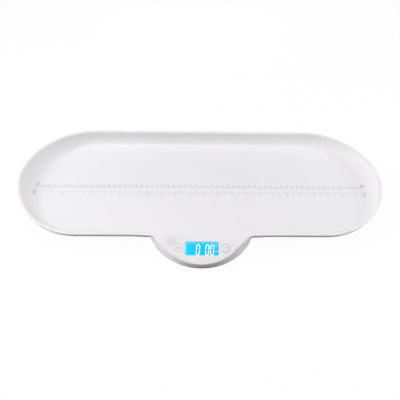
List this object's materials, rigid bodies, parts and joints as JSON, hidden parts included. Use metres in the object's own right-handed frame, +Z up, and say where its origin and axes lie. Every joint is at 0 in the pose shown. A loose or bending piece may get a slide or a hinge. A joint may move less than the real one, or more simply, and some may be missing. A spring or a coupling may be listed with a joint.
{
  "type": "digital baby weighing scale",
  "caption": "Long white weighing tray with rounded ends and a raised back wall, a sloping front nose with a blue display and round buttons, on a low base with sprung feet.",
  "frame": {"origin": "centre of the bounding box's underside, level with the bottom faces of the foot pads", "axes": "+X along the tray's length, towards the right end seen from the display; +Y from the display nose towards the raised back wall; +Z up"},
  "size_m": [0.655, 0.2814, 0.062],
  "materials": {
    "tray_plastic": "moulded, soft gloss",
    "base_plastic": "moulded satin",
    "button_plastic": "satin, printed ring",
    "lens": "clear window",
    "display": "backlit blue",
    "light_plate": "diffuser",
    "black_plastic": "moulded",
    "rubber": "matt",
    "board": "solder mask",
    "steel": "plated",
    "cell_jacket": "shrink sleeve",
    "lead_jacket": "insulation"
  },
  "bodies": {
    "scale_body": {"tray": "tray_plastic", "base_shell": "base_plastic", "display_lens": "lens", "lcd_glass": "display", "backlight": "light_plate", "zebra_strip": "rubber", "display_frame": "black_plastic", "main_board": "board", "control_chip": "black_plastic", "buzzer": "black_plastic", "board_screw_1": "steel", "board_screw_2": "steel", "board_screw_3": "steel", "board_screw_4": "steel", "switch_upper_left": "black_plastic", "switch_lower_left": "black_plastic", "switch_right": "black_plastic", "load_cell_front_left": "steel", "load_cell_front_right": "steel", "load_cell_rear_left": "steel", "load_cell_rear_right": "steel", "lead_front_left": "lead_jacket", "lead_front_right": "lead_jacket", "lead_rear_left": "lead_jacket", "lead_rear_right": "lead_jacket", "battery_lead_left": "lead_jacket", "battery_lead_right": "lead_jacket", "battery_1": "cell_jacket", "battery_2": "cell_jacket", "battery_3": "cell_jacket", "battery_spring_1": "steel", "battery_spring_2": "steel", "battery_spring_3": "steel", "contact_plate_1": "steel", "contact_plate_2": "steel", "contact_plate_3": "steel", "housing_screw_1": "steel", "housing_screw_2": "steel", "housing_screw_3": "steel", "housing_screw_4": "steel", "housing_screw_5": "steel", "housing_screw_6": "steel"},
    "upper_left_button": {"button_upper_left": "button_plastic", "switch_plunger_upper_left": "steel"},
    "lower_left_button": {"button_lower_left": "button_plastic", "switch_plunger_lower_left": "steel"},
    "right_button": {"button_right": "button_plastic", "switch_plunger_right": "steel"},
    "front_left_foot": {"foot_cup_front_left": "base_plastic", "foot_pad_front_left": "rubber"},
    "front_right_foot": {"foot_cup_front_right": "base_plastic", "foot_pad_front_right": "rubber"},
    "rear_left_foot": {"foot_cup_rear_left": "base_plastic", "foot_pad_rear_left": "rubber"},
    "rear_right_foot": {"foot_cup_rear_right": "base_plastic", "foot_pad_rear_right": "rubber"},
    "door": {"battery_door": "base_plastic"}
  },
  "joints": [
    {"name": "upper_left_button_press", "type": "slide", "parent": "scale_body", "child": "upper_left_button", "axis": [0, 0.3305, -0.9438], "range_m": [0, 0.0006], "stiffness_N_per_m": 90, "springref_m": -0.0003},
    {"name": "lower_left_button_press", "type": "slide", "parent": "scale_body", "child": "lower_left_button", "axis": [0, 0.3305, -0.9438], "range_m": [0, 0.0006], "stiffness_N_per_m": 90, "springref_m": -0.0003},
    {"name": "right_button_press", "type": "slide", "parent": "scale_body", "child": "right_button", "axis": [0, 0.3305, -0.9438], "range_m": [0, 0.0006], "stiffness_N_per_m": 90, "springref_m": -0.0003},
    {"name": "front_left_foot_press", "type": "slide", "parent": "scale_body", "child": "front_left_foot", "axis": [0, 0, 1], "range_m": [0, 0.0003], "stiffness_N_per_m": 1500, "springref_m": -0.0015},
    {"name": "front_right_foot_press", "type": "slide", "parent": "scale_body", "child": "front_right_foot", "axis": [0, 0, 1], "range_m": [0, 0.0003], "stiffness_N_per_m": 1500, "springref_m": -0.0015},
    {"name": "rear_left_foot_press", "type": "slide", "parent": "scale_body", "child": "rear_left_foot", "axis": [0, 0, 1], "range_m": [0, 0.0003], "stiffness_N_per_m": 1500, "springref_m": -0.0015},
    {"name": "rear_right_foot_press", "type": "slide", "parent": "scale_body", "child": "rear_right_foot", "axis": [0, 0, 1], "range_m": [0, 0.0003], "stiffness_N_per_m": 1500, "springref_m": -0.0015},
    {"name": "door_hinge", "type": "hinge", "parent": "scale_body", "child": "door", "pos_m": [0, 0.02465, 0.0052], "axis": [-1, 0, 0], "range_deg": [0, 75]}
  ]
}
